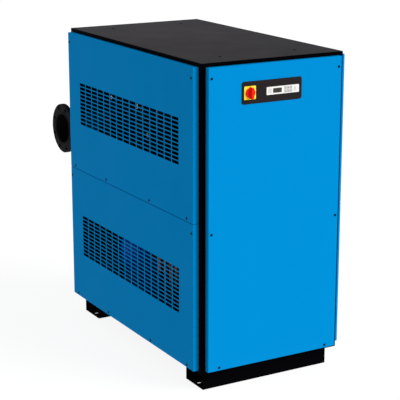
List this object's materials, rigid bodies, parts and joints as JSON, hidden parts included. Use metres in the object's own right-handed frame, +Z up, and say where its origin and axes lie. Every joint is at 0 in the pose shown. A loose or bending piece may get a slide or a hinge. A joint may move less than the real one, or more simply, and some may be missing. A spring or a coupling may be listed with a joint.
{
  "type": "refrigerated air dryer",
  "caption": "Floor-standing refrigerated compressed-air dryer: sheet-metal cabinet with slotted side panels, control panel, cooling plant and flanged air pipes at the rear.",
  "frame": {"origin": "on the floor, at the centre of the four anchor slots, which is the cabinet's centre", "axes": "+X to the right seen from the front, +Y to the rear, +Z up"},
  "size_m": [0.8734, 1.895, 1.653],
  "materials": {
    "blue_panel_paint": "semi-gloss powder coat",
    "black_frame_paint": "satin powder coat",
    "black_cover_paint": "satin powder coat",
    "black_screw_finish": "black oxide",
    "zinc_plate": "zinc plated",
    "black_abs": "fine moulded texture",
    "yellow_plastic": "moulded",
    "red_plastic": "moulded",
    "white_plastic": "moulded",
    "grey_plastic": "moulded",
    "display_window": "smoked",
    "grey_enclosure_paint": "powder coat",
    "blue_compressor_paint": "enamel",
    "black_rubber": "moulded",
    "fin_aluminium": "mill finish",
    "copper_tube": "drawn copper, lightly oxidised",
    "valve_brass": "machined",
    "galvanised_sheet": "spangled",
    "black_insulation": "closed-cell foam skin",
    "black_pipe_paint": "satin paint on steel",
    "guard_wire": "black coated wire",
    "green_drier_paint": "enamel",
    "lever_steel": "bright"
  },
  "bodies": {
    "cabinet": {"base_bolts": "zinc_plate", "base_front_beam": "black_frame_paint", "base_rear_beam": "black_frame_paint", "cable_gland": "black_abs", "compressor": "blue_compressor_paint", "compressor_grommets": "black_rubber", "compressor_terminal_cover": "black_abs", "condensate_drain": "valve_brass", "condenser_coil": "fin_aluminium", "control_plate": "black_abs", "control_valves": "valve_brass", "controller_housing": "white_plastic", "controller_window": "display_window", "electrical_box": "grey_enclosure_paint", "electrical_gear": "grey_plastic", "electrical_lid": "grey_enclosure_paint", "exchanger_cradle": "black_frame_paint", "fan_guards": "guard_wire", "fan_motors": "black_screw_finish", "fan_shroud": "galvanised_sheet", "filter_drier": "green_drier_paint", "floor_tray": "black_frame_paint", "front_cross_rails": "black_frame_paint", "front_panel": "blue_panel_paint", "heat_exchanger": "black_insulation", "inlet_flange": "black_pipe_paint", "inlet_pipe": "black_pipe_paint", "left_lower_panel": "blue_panel_paint", "left_upper_panel": "blue_panel_paint", "liquid_receiver": "black_pipe_paint", "middle_rails": "black_frame_paint", "moisture_separator": "black_pipe_paint", "outlet_flange": "black_pipe_paint", "outlet_pipe": "black_pipe_paint", "panel_screws": "black_screw_finish", "pipe_collars": "black_rubber", "post_front_left": "black_frame_paint", "post_front_right": "black_frame_paint", "post_rear_left": "black_frame_paint", "post_rear_right": "black_frame_paint", "pressure_switches": "grey_plastic", "rear_lower_panel": "blue_panel_paint", "rear_upper_panel": "blue_panel_paint", "refrigerant_lines": "copper_tube", "right_lower_panel": "blue_panel_paint", "right_upper_panel": "blue_panel_paint", "switch_body": "black_abs", "switch_plate": "yellow_plastic", "top_cover": "black_cover_paint", "top_frame": "black_frame_paint"},
    "main_switch": {"switch_knob": "red_plastic"},
    "front_fan": {"condenser_fan_front": "black_abs"},
    "rear_fan": {"condenser_fan_rear": "black_abs"},
    "drain_handle": {"drain_lever": "lever_steel"},
    "key_1": {"controller_key_1": "white_plastic"},
    "key_2": {"controller_key_2": "white_plastic"},
    "key_3": {"controller_key_3": "white_plastic"},
    "key_4": {"controller_key_4": "white_plastic"},
    "key_5": {"controller_key_5": "white_plastic"},
    "key_6": {"controller_key_6": "white_plastic"}
  },
  "joints": [
    {"name": "main_switch_turn", "type": "hinge", "parent": "cabinet", "child": "main_switch", "pos_m": [-0.155, -0.7595, 1.4955], "axis": [0, 1, 0], "range_deg": [0, 90]},
    {"name": "front_fan_spin", "type": "hinge", "parent": "cabinet", "child": "front_fan", "pos_m": [0.32, -0.27, 0.48], "axis": [1, 0, 0], "continuous": true},
    {"name": "rear_fan_spin", "type": "hinge", "parent": "cabinet", "child": "rear_fan", "pos_m": [0.32, 0.27, 0.48], "axis": [1, 0, 0], "continuous": true},
    {"name": "drain_valve_turn", "type": "hinge", "parent": "cabinet", "child": "drain_handle", "pos_m": [0.128, 0.56, 0.235], "axis": [0, 0, 1], "range_deg": [0, 90]},
    {"name": "key_1_press", "type": "slide", "parent": "cabinet", "child": "key_1", "axis": [0, 1, 0], "range_m": [0, 0.0008], "stiffness_N_per_m": 300},
    {"name": "key_2_press", "type": "slide", "parent": "cabinet", "child": "key_2", "axis": [0, 1, 0], "range_m": [0, 0.0008], "stiffness_N_per_m": 300},
    {"name": "key_3_press", "type": "slide", "parent": "cabinet", "child": "key_3", "axis": [0, 1, 0], "range_m": [0, 0.0008], "stiffness_N_per_m": 300},
    {"name": "key_4_press", "type": "slide", "parent": "cabinet", "child": "key_4", "axis": [0, 1, 0], "range_m": [0, 0.0008], "stiffness_N_per_m": 300},
    {"name": "key_5_press", "type": "slide", "parent": "cabinet", "child": "key_5", "axis": [0, 1, 0], "range_m": [0, 0.0008], "stiffness_N_per_m": 300},
    {"name": "key_6_press", "type": "slide", "parent": "cabinet", "child": "key_6", "axis": [0, 1, 0], "range_m": [0, 0.0008], "stiffness_N_per_m": 300}
  ]
}
